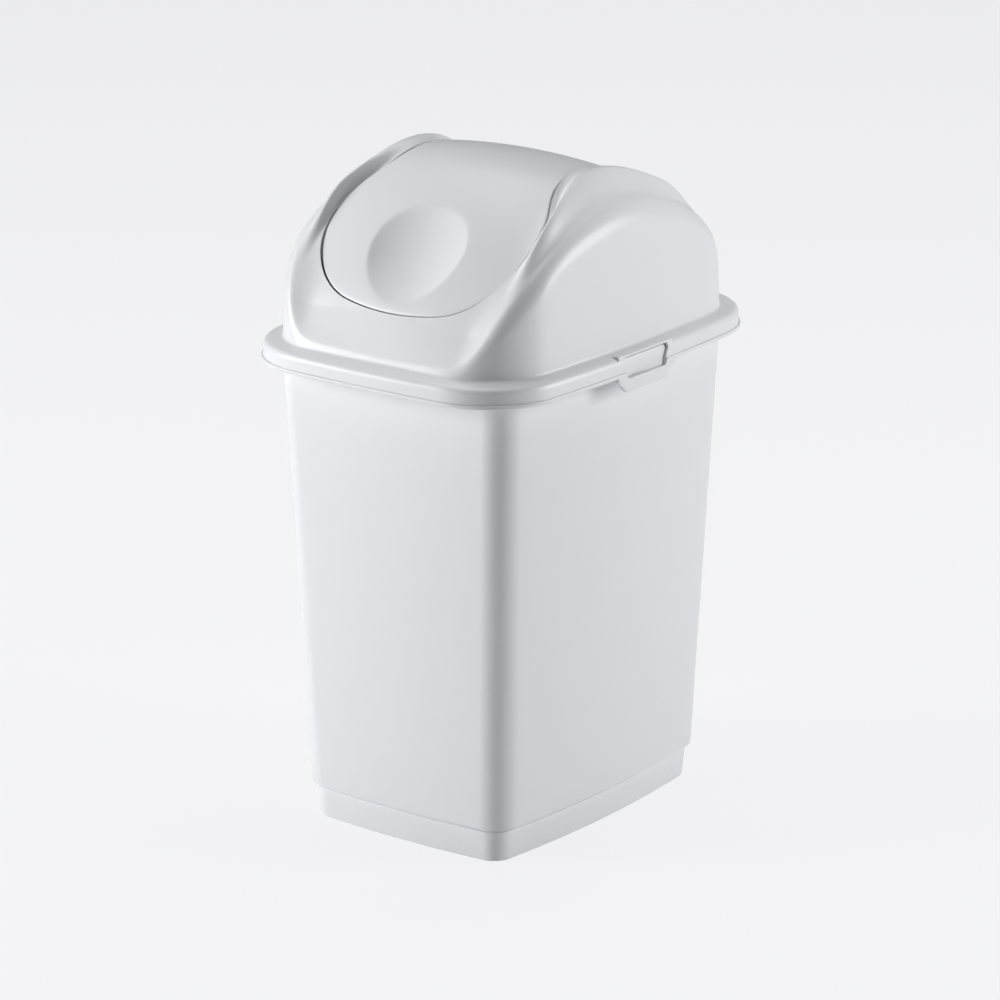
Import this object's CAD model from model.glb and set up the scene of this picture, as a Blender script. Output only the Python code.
import bpy
import bmesh
import numpy as np
from mathutils import Matrix, Vector


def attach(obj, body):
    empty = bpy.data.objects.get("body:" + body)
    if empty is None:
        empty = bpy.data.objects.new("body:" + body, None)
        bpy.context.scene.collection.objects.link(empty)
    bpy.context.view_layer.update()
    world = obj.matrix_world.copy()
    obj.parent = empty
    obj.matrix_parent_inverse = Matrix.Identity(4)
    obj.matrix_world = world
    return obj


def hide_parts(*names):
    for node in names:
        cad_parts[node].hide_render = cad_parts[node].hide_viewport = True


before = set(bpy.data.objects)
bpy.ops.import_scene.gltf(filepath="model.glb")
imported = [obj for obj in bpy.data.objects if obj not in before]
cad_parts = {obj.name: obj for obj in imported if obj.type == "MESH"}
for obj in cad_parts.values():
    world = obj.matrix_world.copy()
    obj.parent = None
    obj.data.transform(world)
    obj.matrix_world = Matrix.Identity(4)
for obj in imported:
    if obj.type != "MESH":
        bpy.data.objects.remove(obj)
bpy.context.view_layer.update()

# Floor, lights and camera, with places in metres. The bin stands on a plain white sheet between
# two soft boxes, with a third above it and nothing bright behind the camera, so the corner that
# faces the camera stays darker than the walls beside it.
sheet_reach = 14
sheet_white = (0.80, 0.80, 0.81)
page_white = (0.955, 0.955, 0.975)
page_share_for_all, page_share_for_camera = 0.19, 0.66
room_light = 0.02
camera_place = (1.7527, -2.3165, 1.1048)
camera_direction = (-0.5759, 0.7600, -0.3013)
camera_roll, camera_lens, camera_sensor = -0.043, 183.1, 36

sheet = bpy.data.meshes.new("floor_sheet")
sheet.from_pydata([(-sheet_reach, -sheet_reach, 0), (sheet_reach, -sheet_reach, 0),
                   (sheet_reach, sheet_reach, 0), (-sheet_reach, sheet_reach, 0)], [], [(0, 1, 2, 3)])
floor = bpy.data.objects.new("floor_sheet", sheet)
bpy.context.collection.objects.link(floor)
paper = bpy.data.materials.new("white_sheet")
paper.use_nodes = True
nodes, links = paper.node_tree.nodes, paper.node_tree.links
nodes.clear()
diffuse = nodes.new("ShaderNodeBsdfDiffuse")
diffuse.inputs["Color"].default_value = (*sheet_white, 1)
glow = nodes.new("ShaderNodeEmission")
glow.inputs["Color"].default_value = (*page_white, 1)
rays = nodes.new("ShaderNodeLightPath")
share = nodes.new("ShaderNodeMath")
share.operation = "MULTIPLY_ADD"
share.inputs[1].default_value = page_share_for_camera
share.inputs[2].default_value = page_share_for_all
blend = nodes.new("ShaderNodeMixShader")
output = nodes.new("ShaderNodeOutputMaterial")
links.new(rays.outputs["Is Camera Ray"], share.inputs[0])
links.new(share.outputs[0], blend.inputs[0])
links.new(diffuse.outputs[0], blend.inputs[1])
links.new(glow.outputs[0], blend.inputs[2])
links.new(blend.outputs[0], output.inputs[0])
sheet.materials.append(paper)

world = bpy.data.worlds.new("studio")
world.use_nodes = True
world.node_tree.nodes["Background"].inputs["Color"].default_value = (1, 1, 1, 1)
world.node_tree.nodes["Background"].inputs["Strength"].default_value = room_light
bpy.context.scene.world = world


def softbox(name, place, target, width, height, watts):
    lamp = bpy.data.lights.new(name, "AREA")
    lamp.shape = "RECTANGLE"
    lamp.size = width
    lamp.size_y = height
    lamp.energy = watts
    box = bpy.data.objects.new(name, lamp)
    box.location = place
    aim = Vector(target) - Vector(place)
    box.rotation_euler = aim.to_track_quat("-Z", "Y").to_euler()
    bpy.context.collection.objects.link(box)


softbox("left_box", (-1.75, -1.65, 0.7), (0, 0, 0.2), 1.1, 1.3, 52)
softbox("right_box", (1.95, 1.3, 0.74), (0, 0, 0.2), 1.0, 1.4, 36)
softbox("top_box", (-0.25, 0.4, 2.15), (0, 0, 0.3), 1.6, 1.6, 20)

eye = bpy.data.cameras.new("camera")
eye.sensor_width = camera_sensor
eye.lens = camera_lens
eye.clip_end = 60
camera = bpy.data.objects.new("camera", eye)
roll = Matrix.Rotation(np.radians(camera_roll), 4, "Z")
turn = Vector(camera_direction).to_track_quat("-Z", "Y").to_matrix().to_4x4() @ roll
camera.matrix_world = Matrix.Translation(camera_place) @ turn
bpy.context.collection.objects.link(camera)
bpy.context.scene.camera = camera
bpy.context.scene.view_settings.view_transform = "Standard"


# Bucket, drawn in millimetres: one thin tapered shell of satin white plastic, injection moulded,
# standing on a narrower band with a shadow line above it. Its walls bow outward a little, and a
# shelf at the top carries the rim and, in the middle of each long side, a catch block.
side_bulge, front_bulge = 6.5, 3.7
side_steps, corner_steps, front_steps = 34, 26, 30
wall = 2.0
foot_flare, bucket_flare = 0.09, 0.0397
foot_top, shelf, rim_top = 21.0, 287.6, 295.8
foot_size, foot_corner_flare = (75.1, 100.2, 12.5), 0.1
bucket_size = (80.35, 104.7, 18.4)
rim_size, rim_wall, shelf_thickness = (100.5, 130.1, 45.5), 2.2, 2.2
recess_size, recess_depth = (66.6, 91.7, 10.4), 2.5
floor_size, floor_height = (60, 85, 10), 5
groove_low, groove_high, groove_depth = foot_top - 2.3, foot_top - 2.1, 1.2
long_side_radius = 1290.0
tongue_back, tongue_face = 98.6, 102.3
tongue_outline = [(-22.0, 294.8), (-20.0, 296.8), (20.0, 296.8), (22.0, 294.8), (18.0, 285.6),
                  (-18.0, 285.6)]


def arc_points(centre, radius, first, last, steps):
    """Points of an arc from one angle up to, but not with, the other."""
    turns = np.linspace(first, last, steps, endpoint=False)
    return np.stack([centre[0] + radius * np.cos(turns), centre[1] + radius * np.sin(turns)], 1)


def bowed_corner(half_width, half_depth, corner):
    """Radii and centres of the side arc, the front arc and the corner arc between them."""
    across, along = half_width - side_bulge, half_depth - front_bulge
    side_radius = (along ** 2 + side_bulge ** 2) / side_bulge / 2
    front_radius = (across ** 2 + front_bulge ** 2) / front_bulge / 2
    side = np.array((half_width - side_radius, 0.0 * half_width))
    front = np.array((0.0 * half_width, half_depth - front_radius))
    span = np.hypot(*(front - side))
    near, far = side_radius - corner, front_radius - corner
    along_gap = (near ** 2 - far ** 2 + span ** 2) / span / 2
    off_gap = np.sqrt(near ** 2 - along_gap ** 2)
    unit = (front - side) / span
    middle = side + along_gap * unit + off_gap * np.array((-unit[1], unit[0]))
    return side_radius, front_radius, side, front, middle


def outline(half_width, half_depth, corner):
    """The bowed rounded rectangle that every level of the bin has, as points round it."""
    side_radius, front_radius, side, front, middle = bowed_corner(half_width, half_depth, corner)
    first = np.arctan2(*(middle - side)[::-1])
    last = np.arctan2(*(middle - front)[::-1])
    quarter = np.concatenate([
        arc_points(side, side_radius, 0, first, side_steps),
        arc_points(middle, corner, first, last, corner_steps),
        arc_points(front, front_radius, last, np.pi / 2, front_steps),
        [(0.0, half_depth)]])
    back = quarter[::-1][1:] * (-1, 1)
    half = np.concatenate([quarter, back])
    return np.concatenate([half, -half[1:-1]])


def level(half_width, half_depth, corner, height):
    flat = outline(half_width, half_depth, corner)
    return np.column_stack([flat, np.full(len(flat), height)])


def rounded(rings):
    """Rings of points with each (ring, radius) corner turned into a small rounding."""
    shells = []
    for i, (ring, radius) in enumerate(rings):
        if not radius:
            shells.append(ring)
            continue
        before, after = rings[i - 1][0] - ring, rings[i + 1][0] - ring
        before = before * radius / np.linalg.norm(before, axis=1)[:, None]
        after = after * radius / np.linalg.norm(after, axis=1)[:, None]
        for t in np.linspace(0, 1, 5):
            shells.append(ring + (1 - t) ** 2 * before + t ** 2 * after)
    return shells


def to_metres(shape):
    bmesh.ops.scale(shape, vec=(0.001, 0.001, 0.001), verts=shape.verts)


def sharpen(shape, angle=0.6):
    """Smooth shading with a crease wherever two faces meet at more than the angle."""
    bmesh.ops.recalc_face_normals(shape, faces=shape.faces)
    for face in shape.faces:
        face.smooth = True
    for edge in shape.edges:
        edge.smooth = not (edge.is_manifold and edge.calc_face_angle(0) > angle)


def piece(name, shape, body, material, *nodes):
    """Puts a bmesh drawn in millimetres into the scene as one named piece on its body."""
    to_metres(shape)
    sharpen(shape)
    mesh = bpy.data.meshes.new(name)
    shape.to_mesh(mesh)
    shape.free()
    mesh.materials.append(material)
    thing = bpy.data.objects.new(name, mesh)
    bpy.context.collection.objects.link(thing)
    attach(thing, body)
    if nodes:
        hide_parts(*nodes)
    return thing


def ring_shape(shells, closed=False):
    """A bmesh with quads between each ring of points and the next, and caps unless closed."""
    shape = bmesh.new()
    rows = [[shape.verts.new(p) for p in ring] for ring in shells]
    pairs = list(zip(rows, rows[1:])) + ([(rows[-1], rows[0])] if closed else [])
    for low, high in pairs:
        for i in range(len(low)):
            shape.faces.new((low[i - 1], low[i], high[i], high[i - 1]))
    if not closed:
        shape.faces.new(rows[0])
        shape.faces.new(rows[-1])
    return shape


def plastic(name, colour, rough, grain_size=2400, grain=0.02, unevenness=0.04):
    """Satin moulded plastic: a fine orange peel, with its gloss a little uneven."""
    made = bpy.data.materials.new(name)
    made.use_nodes = True
    tree = made.node_tree
    shader = tree.nodes["Principled BSDF"]
    shader.inputs["Base Color"].default_value = (*colour, 1)
    shader.inputs["IOR"].default_value = 1.47
    place = tree.nodes.new("ShaderNodeTexCoord")
    peel = tree.nodes.new("ShaderNodeTexNoise")
    peel.inputs["Scale"].default_value = grain_size
    peel.inputs["Detail"].default_value = 3
    bump = tree.nodes.new("ShaderNodeBump")
    bump.inputs["Strength"].default_value = grain
    bump.inputs["Distance"].default_value = 0.0004
    cloud = tree.nodes.new("ShaderNodeTexNoise")
    cloud.inputs["Scale"].default_value = 14
    cloud.inputs["Detail"].default_value = 4
    uneven = tree.nodes.new("ShaderNodeMapRange")
    uneven.inputs["To Min"].default_value = rough - unevenness
    uneven.inputs["To Max"].default_value = rough + unevenness
    tree.links.new(place.outputs["Object"], peel.inputs["Vector"])
    tree.links.new(place.outputs["Object"], cloud.inputs["Vector"])
    tree.links.new(peel.outputs["Fac"], bump.inputs["Height"])
    tree.links.new(bump.outputs["Normal"], shader.inputs["Normal"])
    tree.links.new(cloud.outputs["Fac"], uneven.inputs["Value"])
    tree.links.new(uneven.outputs["Result"], shader.inputs["Roughness"])
    return made


bin_white = (0.82, 0.83, 0.855)
bucket_white = plastic("bucket_white", bin_white, 0.34)


def foot_level(height, inset=0.0):
    grow = foot_flare * height - inset
    corner = foot_size[2] + foot_corner_flare * height - inset
    return level(foot_size[0] + grow, foot_size[1] + grow, corner, height)


def bucket_level(height, inset=0.0):
    grow = bucket_flare * (height - foot_top) - inset
    return level(bucket_size[0] + grow, bucket_size[1] + grow, bucket_size[2] - inset / 2, height)


def rim_level(height, inset=0.0):
    half_width, half_depth, corner = rim_size
    return level(half_width - inset, half_depth - inset, corner - inset, height)


walls = np.linspace(foot_top + 12, shelf - 8, 14)
shelf_top = shelf + shelf_thickness
foot_inside = foot_top + wall
shells = rounded([
    (level(*recess_size, recess_depth), 0), (level(*recess_size, 0), 0.5), (foot_level(0), 1.6),
    (foot_level(groove_low), 0.4), (foot_level(groove_high, groove_depth), 0.4),
    (foot_level(foot_top, groove_depth), 0.4), (bucket_level(foot_top), 1.2)]
    + [(bucket_level(z), 0) for z in walls]
    + [(bucket_level(shelf), 1.0), (rim_level(shelf), 0.5), (rim_level(rim_top), 0.8),
       (rim_level(rim_top, rim_wall), 0.8), (rim_level(shelf_top, rim_wall), 1.0),
       (bucket_level(shelf_top, wall), 1.5)]
    + [(bucket_level(z, wall), 0) for z in walls[::-1]]
    + [(bucket_level(foot_inside, wall), 2.0), (foot_level(foot_inside, wall), 1.5),
       (foot_level(floor_height, wall), 5.0), (level(*floor_size, floor_height), 0)])
piece("bin_bucket", ring_shape(shells), "bucket", bucket_white, "bin_body")


def bar(corners, first, last, soft):
    """A soft-edged plate from x first to x last, bowed like the long side of the rim.

    Its outline is given in corners (y, z).
    """
    shape = bmesh.new()
    near = [shape.verts.new((first, y, z)) for y, z in corners]
    far = [shape.verts.new((last, y, z)) for y, z in corners]
    shape.faces.new(near)
    shape.faces.new(far[::-1])
    for i in range(len(corners)):
        shape.faces.new((near[i - 1], near[i], far[i], far[i - 1]))
    bmesh.ops.recalc_face_normals(shape, faces=shape.faces)
    for y in range(-32, 33, 4):
        whole = shape.verts[:] + shape.edges[:] + shape.faces[:]
        bmesh.ops.bisect_plane(shape, geom=whole, plane_co=(0, y + 0.01, 0), plane_no=(0, 1, 0))
    edges = [e for e in shape.edges if e.calc_face_angle(0) > 0.3]
    bmesh.ops.bevel(shape, geom=edges, offset=soft, segments=3, affect="EDGES", profile=0.5)
    for vertex in shape.verts:
        vertex.co.x -= np.sign(vertex.co.x) * vertex.co.y ** 2 / long_side_radius / 2
    return shape


for side, word in ((1, "right"), (-1, "left")):
    block = bar(tongue_outline, side * tongue_back, side * tongue_face, 0.5)
    piece("catch_tongue_" + word, block, "bucket", bucket_white)


# Lid hood: one thin moulded shell of the same satin plastic. It has a deep rolled shoulder, a
# cheek on each side of the flap, a ledge and skirt that sit over the rim, and a bead below them.
lid_white = plastic("lid_white", bin_white, 0.32)
crown_height, crown_radius, crown_half, slope_radius = 402.7, 80.0, 31.9, 162.0
cross_radius = 430.0
lean = crown_half / crown_radius
slope_y = -(slope_radius - crown_radius) * lean
slope_z = crown_height - crown_radius - (slope_radius - crown_radius) * np.sqrt(1 - lean ** 2)
cross_axis = crown_height - cross_radius
pivot_height, flap_gap = 385.0, 0.9
waist, waist_reach, belly, belly_reach = 55.7, 10.0, 71.6, 72.0
end_reach, end_corner = 123.0, 48.6
end_drop = end_reach - belly_reach
end_radius = (belly ** 2 - 2 * belly * end_corner + end_drop ** 2) / 2 / (end_drop - end_corner)
dome_foot, dome_half_width, dome_half_depth, dome_corner = 300.0, 95.6, 124.8, 49.0
dome_draft, dome_over_flap, end_slope_start = 0.035, 1.5, 109.5
shoulder_axis, shoulder_radius, shoulder_end = 250.2, 135.0, 126.0
cheek_ridge, cheek_spread = 69.8, 7.2
cheek_slope, cheek_slope_lost = 15.0, 7.5
cheek_rise, cheek_extra_rise = 10.0, 1.0
edge_roll, shoulder_roll, side_roll = 2.5, 6.5, 5.0
skirt_inside, skirt_face, bead_face = (101.9, 131.5, 47.3), (103.9, 133.5, 49.2), (105.0, 134.6, 50.0)
skirt_bottom, bead_top, skirt_roof, ledge_edge = 286.7, 289.0, 296.0, 298.0
pad_outline = [(-27, 299.5), (27, 299.5), (27, 296.4), (-27, 296.4)]
loop_outline = [(-28.5, 289), (28.5, 289), (28.5, 284.5), (20.5, 277.2), (-20.5, 277.2),
                (-28.5, 284.5)]
window_outline = [(-22.9, 295.6), (-20.6, 298.2), (20.6, 298.2), (22.9, 295.6), (18.7, 285),
                  (-18.7, 285)]


def ease(value, start, end):
    t = np.clip((value - start) / (end - start), 0, 1)
    return t * t * (3 - 2 * t)


def flap_level(x, y):
    """Height of the flap's crowned surface."""
    y = np.abs(y)
    near = crown_height - crown_radius + np.sqrt(np.maximum(crown_radius ** 2 - y ** 2, 0))
    far = slope_z + np.sqrt(np.maximum(slope_radius ** 2 - (y - slope_y) ** 2, 0))
    line = np.where(y < crown_half, near, far)
    return cross_axis + np.sqrt((line - cross_axis) ** 2 - x ** 2)


def dome_top(x, y):
    """Height of the lid's upper surface, as if its walls did not cut it off."""
    x, y = np.abs(x), np.abs(y)
    reach = np.minimum(y, end_slope_start)
    end_height = flap_level(x, np.full_like(x, end_slope_start)) + dome_over_flap
    slope = (end_height - dome_foot) / (dome_half_depth - end_slope_start)
    height = flap_level(x, reach) + dome_over_flap - slope * (y - reach)
    shoulder = shoulder_axis + np.sqrt(shoulder_radius ** 2 - np.minimum(y, shoulder_end) ** 2)
    height = height + (shoulder - height) * ease(x, 54, 80)
    outward = ease(y, 20, 68)
    rise = (cheek_rise + cheek_extra_rise * ease(y, 20, 45)) * (1 - ease(y, 52, 102))
    ridge = cheek_ridge + cheek_spread * outward
    inner = ridge - waist - (belly - waist) * ease(y, 0, 68)
    outer = cheek_slope - cheek_slope_lost * outward
    across = np.clip((x - ridge) / np.where(x > ridge, outer, inner), -1, 1)
    return height + rise * (1 + np.cos(np.pi * across)) / 2


def outside_spool(points, grow):
    """How far points lie outside the flap's hourglass outline, turned about the pivot."""
    x, rho = np.abs(points[:, 0]), np.hypot(points[:, 1], points[:, 2] - pivot_height)
    narrow, wide = waist + grow, belly + grow
    rise, run = wide - narrow, belly_reach - waist_reach
    bend = (rise ** 2 + run ** 2) / rise / 4
    corner, arc = end_corner + grow, end_radius + grow
    corner_x, arc_centre = wide - corner, end_reach + grow - arc
    low = x - narrow - bend + np.sqrt(np.maximum(bend ** 2 - (rho - waist_reach) ** 2, 0))
    high = x - wide + bend - np.sqrt(np.maximum(bend ** 2 - (rho - belly_reach) ** 2, 0))
    gone = np.where(rho < waist_reach, x - narrow, low)
    gone = np.where(rho > (waist_reach + belly_reach) / 2, high, gone)
    gone = np.where(rho > belly_reach, np.hypot(x - corner_x, rho - belly_reach) - corner, gone)
    central = x * (belly_reach - arc_centre) < (rho - arc_centre) * corner_x
    return np.where(central & (rho > belly_reach), np.hypot(x, rho - arc_centre) - arc, gone)


def edge_line(directions, surface, grow):
    """Where rays from the middle of the lid, seen from above, leave the spool on a surface."""
    low, high = np.full(len(directions), 20.0), np.full(len(directions), 118.0)
    for _ in range(40):
        middle = (low + high) / 2
        flat = directions * middle[:, None]
        spots = np.column_stack([flat, surface(flat[:, 0], flat[:, 1])])
        inside = outside_spool(spots, grow) < 0
        low, high = np.where(inside, middle, low), np.where(inside, high, middle)
    return spots


def dome_distance(points):
    """Below zero inside the domed part, above zero outside, with the rolled shoulder."""
    x, y, z = points.T
    x, y = np.abs(x), np.abs(y)
    step = 0.5
    climb_x = dome_top(x + step, y) - dome_top(x - step, y)
    climb_y = dome_top(x, y + step) - dome_top(x, y - step)
    above = (z - dome_top(x, y)) / np.sqrt(1 + climb_x ** 2 + climb_y ** 2)
    lean_in = dome_draft * (z - dome_foot)
    side_radius, front_radius, side, front, middle = bowed_corner(
        dome_half_width - lean_in, dome_half_depth - lean_in, dome_corner)
    from_side = np.hypot(x - side[0], y) - side_radius
    from_front = np.hypot(x, y - front[1]) - front_radius
    off = np.array((x, y)) - middle
    to_side, to_front = middle - side, middle - front
    past_side = to_side[0] * off[1] > to_side[1] * off[0]
    past_front = to_front[0] * off[1] < to_front[1] * off[0]
    beyond = np.where(past_side & past_front, np.hypot(*off) - dome_corner,
                      np.maximum(from_side, from_front))
    softer = shoulder_roll + side_roll * (1 - ease(y, 25, 80))
    roll = edge_roll + softer * ease(x, 66, 92)
    eased = np.hypot(np.maximum(above + roll, 0), np.maximum(beyond + roll, 0))
    return np.minimum(np.maximum(above, beyond), -roll) + eased


crease = outline(dome_half_width, dome_half_depth, dome_corner)
spokes = len(crease)
directions = crease / np.linalg.norm(crease, axis=1)[:, None]
mouth = edge_line(directions, dome_top, flap_gap)
outward = crease - mouth[:, :2]
outward /= np.linalg.norm(outward, axis=1)[:, None]
start = np.column_stack([mouth[:, :2], np.full(spokes, dome_foot)])
dome_rings = []
for share_up in np.linspace(0, 1, 84):
    tilt = (1 - (1 - share_up) ** 1.35) * np.pi / 2
    ray = np.column_stack([outward * np.cos(tilt), np.full(spokes, np.sin(tilt))])
    near, far = np.zeros(spokes), np.full(spokes, 130.0)
    for _ in range(34):
        half_way = (near + far) / 2
        inside = dome_distance(start + ray * half_way[:, None]) < 0
        near, far = np.where(inside, half_way, near), np.where(inside, far, half_way)
    dome_rings.append(start + ray * half_way[:, None])
skin = np.array(dome_rings)
round_way = np.roll(skin, -1, 1) - np.roll(skin, 1, 1)
normals = np.cross(round_way, np.gradient(skin, axis=0))
normals /= np.linalg.norm(normals, axis=2)[:, :, None]
inner_skin = skin - wall * normals
step = 0.2
pull = np.stack([outside_spool(skin[-1] + step * way, flap_gap)
                 - outside_spool(skin[-1] - step * way, flap_gap) for way in np.eye(3)], 1)
pull /= np.linalg.norm(pull, axis=1)[:, None]


def on_spool(points):
    for _ in range(4):
        points = points - pull * outside_spool(points, flap_gap)[:, None]
    return points


lip_depth, lip_thickness, lip_clear = 5.0, 1.8, 4.5
lip_foot = on_spool(skin[-1] - lip_depth * normals[-1])
lip_back = lip_foot + lip_thickness * pull
joint = 3
steps_out = np.linalg.norm(np.diff(skin[::-1], axis=0), axis=2)
from_edge = np.concatenate([np.zeros((1, spokes)), np.cumsum(steps_out, axis=0)])
inner_rings = []
for part_way in np.linspace(0, 1, 26):
    ring = []
    for spoke in range(spokes):
        lengths = from_edge[:-joint, spoke]
        spot = lip_clear + (lengths[-1] - lip_clear) * part_way
        inner = inner_skin[::-1][:-joint, spoke]
        ring.append([np.interp(spot, lengths, inner[:, k]) for k in range(3)])
    inner_rings.append(np.array(ring))
lip_rings = rounded([(skin[-2], 0), (skin[-1], 0.3), (lip_foot, 0.4), (lip_back, 0.4),
                     (inner_rings[0], 0)])
dome_shape = ring_shape(list(skin[joint:-2]) + lip_rings[1:] + inner_rings[1:], closed=True)
skirt_shape = ring_shape(rounded([
    (level(*skirt_inside, skirt_roof), 0), (level(*skirt_inside, skirt_bottom), 0.4),
    (level(*bead_face, skirt_bottom), 0.7), (level(*bead_face, bead_top), 0.6),
    (level(*skirt_face, bead_top), 0.4), (level(*skirt_face, ledge_edge), 3.6), (skin[0], 1.6),
    (skin[joint], 0), (inner_skin[joint], 0),
    (np.column_stack([inner_skin[0][:, :2], np.full(spokes, ledge_edge)]), 0)]), closed=True)
lid = piece("lid_hood_shell", skirt_shape, "lid", lid_white, "lid_hood")


def work_into_lid(name, shape, way):
    """Joins a bmesh to the lid, or cuts it away."""
    to_metres(shape)
    bmesh.ops.recalc_face_normals(shape, faces=shape.faces)
    mesh = bpy.data.meshes.new(name)
    shape.to_mesh(mesh)
    shape.free()
    tool = bpy.data.objects.new(name, mesh)
    bpy.context.collection.objects.link(tool)
    cut = lid.modifiers.new(name, "BOOLEAN")
    cut.operation = way
    cut.solver = "MANIFOLD"
    cut.object = tool
    changed = lid.evaluated_get(bpy.context.evaluated_depsgraph_get())
    whole = bpy.data.meshes.new_from_object(changed)
    lid.modifiers.clear()
    lid.data = whole
    bpy.data.objects.remove(tool)


for side in (1, -1):
    work_into_lid("pad", bar(pad_outline, side * 93.6, side * 103.95, 0.8), "UNION")
    work_into_lid("loop", bar(loop_outline, side * 101.95, side * 105.0, 0.9), "UNION")
    work_into_lid("window", bar(window_outline, side * 97.9, side * 108.0, 0.6), "DIFFERENCE")
to_metres(dome_shape)
dome_shape.from_mesh(lid.data)
sharpen(dome_shape)
dome_shape.to_mesh(lid.data)
dome_shape.free()


# Flap: a crowned plate of the same plastic with its edge turned down, a thumb dish at each end,
# and an ear with a short pin under each side of its waist. The pins turn in two sockets.
flap_white = plastic("flap_white", bin_white, 0.32)
dish_y, dish_radius, dish_depth, dish_softness = 82.4, 32.5, 7.5, 0.5
steps = 96
face_inset, under_inset = 0.6, 2.4
turned_down, edge_bottom, foot_bottom, inner_bottom = 0.6, 6.1, 6.5, 6.2
pin_radius, pin_clearance, ear_radius, socket_radius = 3.5, 0.08, 6.5, 8.0
ear_top, socket_top = 397.6, 398.6


def flap_surface(x, y):
    """The flap's crowned surface with a round dish sunk into each end."""
    middle = flap_level(np.array(0.0), np.array(dish_y))
    steep = np.hypot(1, (dish_y - slope_y) / (middle - slope_z))
    reach = np.hypot(x, (np.abs(y) - dish_y) * steep) / dish_radius
    sunk = dish_depth * (1 - reach ** 2) * steep
    return flap_level(x, y) - (sunk + np.hypot(sunk, dish_softness)) / 2


def square_headings(u, v):
    """A heading for each point of a square, with its corners at the flap's corners."""
    safe_u, safe_v = np.where(u == 0, 1e-9, u), np.where(v == 0, 1e-9, v)
    turned = np.where(np.abs(u) >= np.abs(v),
                      np.pi / 4 * v / safe_u + np.where(u < 0, np.pi, 0),
                      np.pi / 2 - np.pi / 4 * u / safe_v + np.where(v < 0, np.pi, 0))
    corner_turn = np.arctan2(86.0, 66.0)
    quarter = np.mod(turned, np.pi)
    mirrored = quarter > np.pi / 2
    quarter = np.where(mirrored, np.pi - quarter, quarter)
    past_corner = (quarter - np.pi / 4) * (np.pi / 2 - corner_turn) / (np.pi / 4)
    even = np.where(quarter < np.pi / 4, quarter * corner_turn / (np.pi / 4),
                    corner_turn + past_corner)
    even = np.where(mirrored, np.pi - even, even)
    heading = even + np.where(np.mod(turned, 2 * np.pi) >= np.pi, np.pi, 0)
    return np.stack([np.cos(heading), np.sin(heading)], -1)


spread = np.linspace(-1, 1, 2 * steps + 1)
u, v = np.meshgrid(spread, spread, indexing="ij")
size = np.maximum(np.abs(u), np.abs(v))
way = square_headings(u, v)


def flap_sheet(inset, drop):
    """A square grid of points on the flap, drawn in from its outline and down from its face.

    The upward directions at the points come with it.
    """
    rim = edge_line(way.reshape(-1, 2), flap_level, -inset)[:, :2].reshape(*way.shape)
    x, y = np.moveaxis(rim * size[:, :, None], 2, 0)
    step = 0.3
    tilt_x = (flap_surface(x + step, y) - flap_surface(x - step, y)) / 2 / step
    tilt_y = (flap_surface(x, y + step) - flap_surface(x, y - step)) / 2 / step
    upright = np.dstack([-tilt_x, -tilt_y, np.ones_like(tilt_x)])
    upright /= np.linalg.norm(upright, axis=2)[:, :, None]
    return np.dstack([x, y, flap_surface(x, y)]) - drop * upright, upright


def border(rows):
    """What lies along the four sides of a square grid, in order."""
    last = len(rows) - 1
    return ([rows[i][0] for i in range(last)] + [rows[last][j] for j in range(last)]
            + [rows[i][last] for i in range(last, 0, -1)]
            + [rows[0][j] for j in range(last, 0, -1)])


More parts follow.
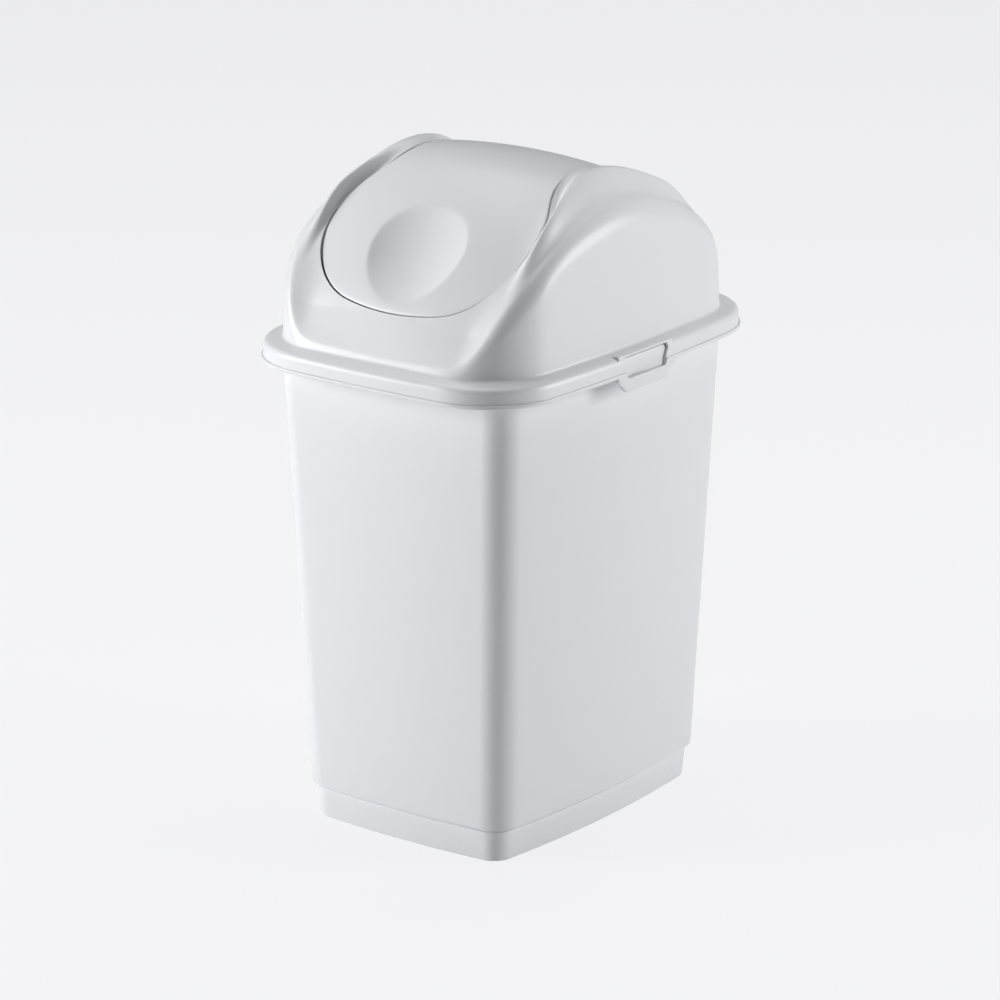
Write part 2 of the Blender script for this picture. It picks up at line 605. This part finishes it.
top_sheet = flap_sheet(face_inset, 0)[0]
under_sheet = flap_sheet(under_inset, wall)[0]
rim_sheet, rim_upright = flap_sheet(0, 0)
shape = bmesh.new()
sheets = []
for points in (top_sheet, under_sheet):
    rows = [[shape.verts.new(p) for p in row] for row in points]
    sheets.append(rows)
for rows in sheets:
    for i in range(2 * steps):
        for j in range(2 * steps):
            shape.faces.new((rows[i][j], rows[i + 1][j], rows[i + 1][j + 1], rows[i][j + 1]))
top_line, rim_line = np.array(border(top_sheet)), np.array(border(rim_sheet))
rim_up = np.array(border(rim_upright))
inner_line = np.array(border(flap_sheet(wall, 0)[0]))
loops = [border(sheets[0])]
for line in (0.3 * top_line + 0.7 * rim_line - 0.12 * rim_up,
             rim_line - turned_down * rim_up,
             rim_line - edge_bottom * rim_up,
             0.7 * rim_line + 0.3 * inner_line - foot_bottom * rim_up,
             0.2 * rim_line + 0.8 * inner_line - foot_bottom * rim_up,
             inner_line - inner_bottom * rim_up):
    loops.append([shape.verts.new(p) for p in line])
loops.append(border(sheets[1]))
for outer, inner in zip(loops, loops[1:]):
    for i in range(len(outer)):
        shape.faces.new((outer[i - 1], outer[i], inner[i], inner[i - 1]))
piece("flap_plate", shape, "flap", flap_white, "swing_flap")


def disc_bar(name, outer, hole, first, last, soft, body, material):
    """A plate cut to an outline round the pivot, with a round hole of the given radius."""
    shape = bmesh.new()
    turns = np.linspace(0, 2 * np.pi, len(outer), endpoint=False)
    inner = np.column_stack([hole * np.cos(turns), pivot_height + hole * np.sin(turns)])
    rows = []
    for x, line in ((first, inner), (first, outer), (last, outer), (last, inner)):
        rows.append([shape.verts.new((x, y, z)) for y, z in line])
    for low, high in zip(rows, rows[1:] + rows[:1]):
        for i in range(len(low)):
            shape.faces.new((low[i - 1], low[i], high[i], high[i - 1]))
    bmesh.ops.recalc_face_normals(shape, faces=shape.faces)
    edges = [e for e in shape.edges if e.calc_face_angle(0) > 1.0]
    bmesh.ops.bevel(shape, geom=edges, offset=soft, segments=2, affect="EDGES", profile=0.5)
    return piece(name, shape, body, material)


def hung_outline(radius, top):
    """A half round below the pivot with straight sides up to a flat top."""
    flat = []
    for turn in np.linspace(0, 2 * np.pi, 64, endpoint=False):
        y, z = np.cos(turn), np.sin(turn)
        reach = radius
        if z > 0:
            reach = min(radius / max(abs(y), 1e-6), (top - pivot_height) / z)
        flat.append((reach * y, pivot_height + reach * z))
    return flat


pinhole = 0.01
ear, socket = hung_outline(ear_radius, ear_top), hung_outline(socket_radius, socket_top)
pin = arc_points((0, pivot_height), pin_radius, 0, 2 * np.pi, 40)
bore = pin_radius + pin_clearance
for side, word in ((1, "right"), (-1, "left")):
    disc_bar("flap_ear_" + word, ear, pinhole, side * 53.1, side * 55.7, 0.4, "flap", flap_white)
    disc_bar("flap_pin_" + word, pin, pinhole, side * 55.2, side * 61.3, 0.5, "flap", flap_white)
    disc_bar("pivot_socket_" + word, socket, bore, side * 56.6, side * 60.1, 0.3, "lid", lid_white)
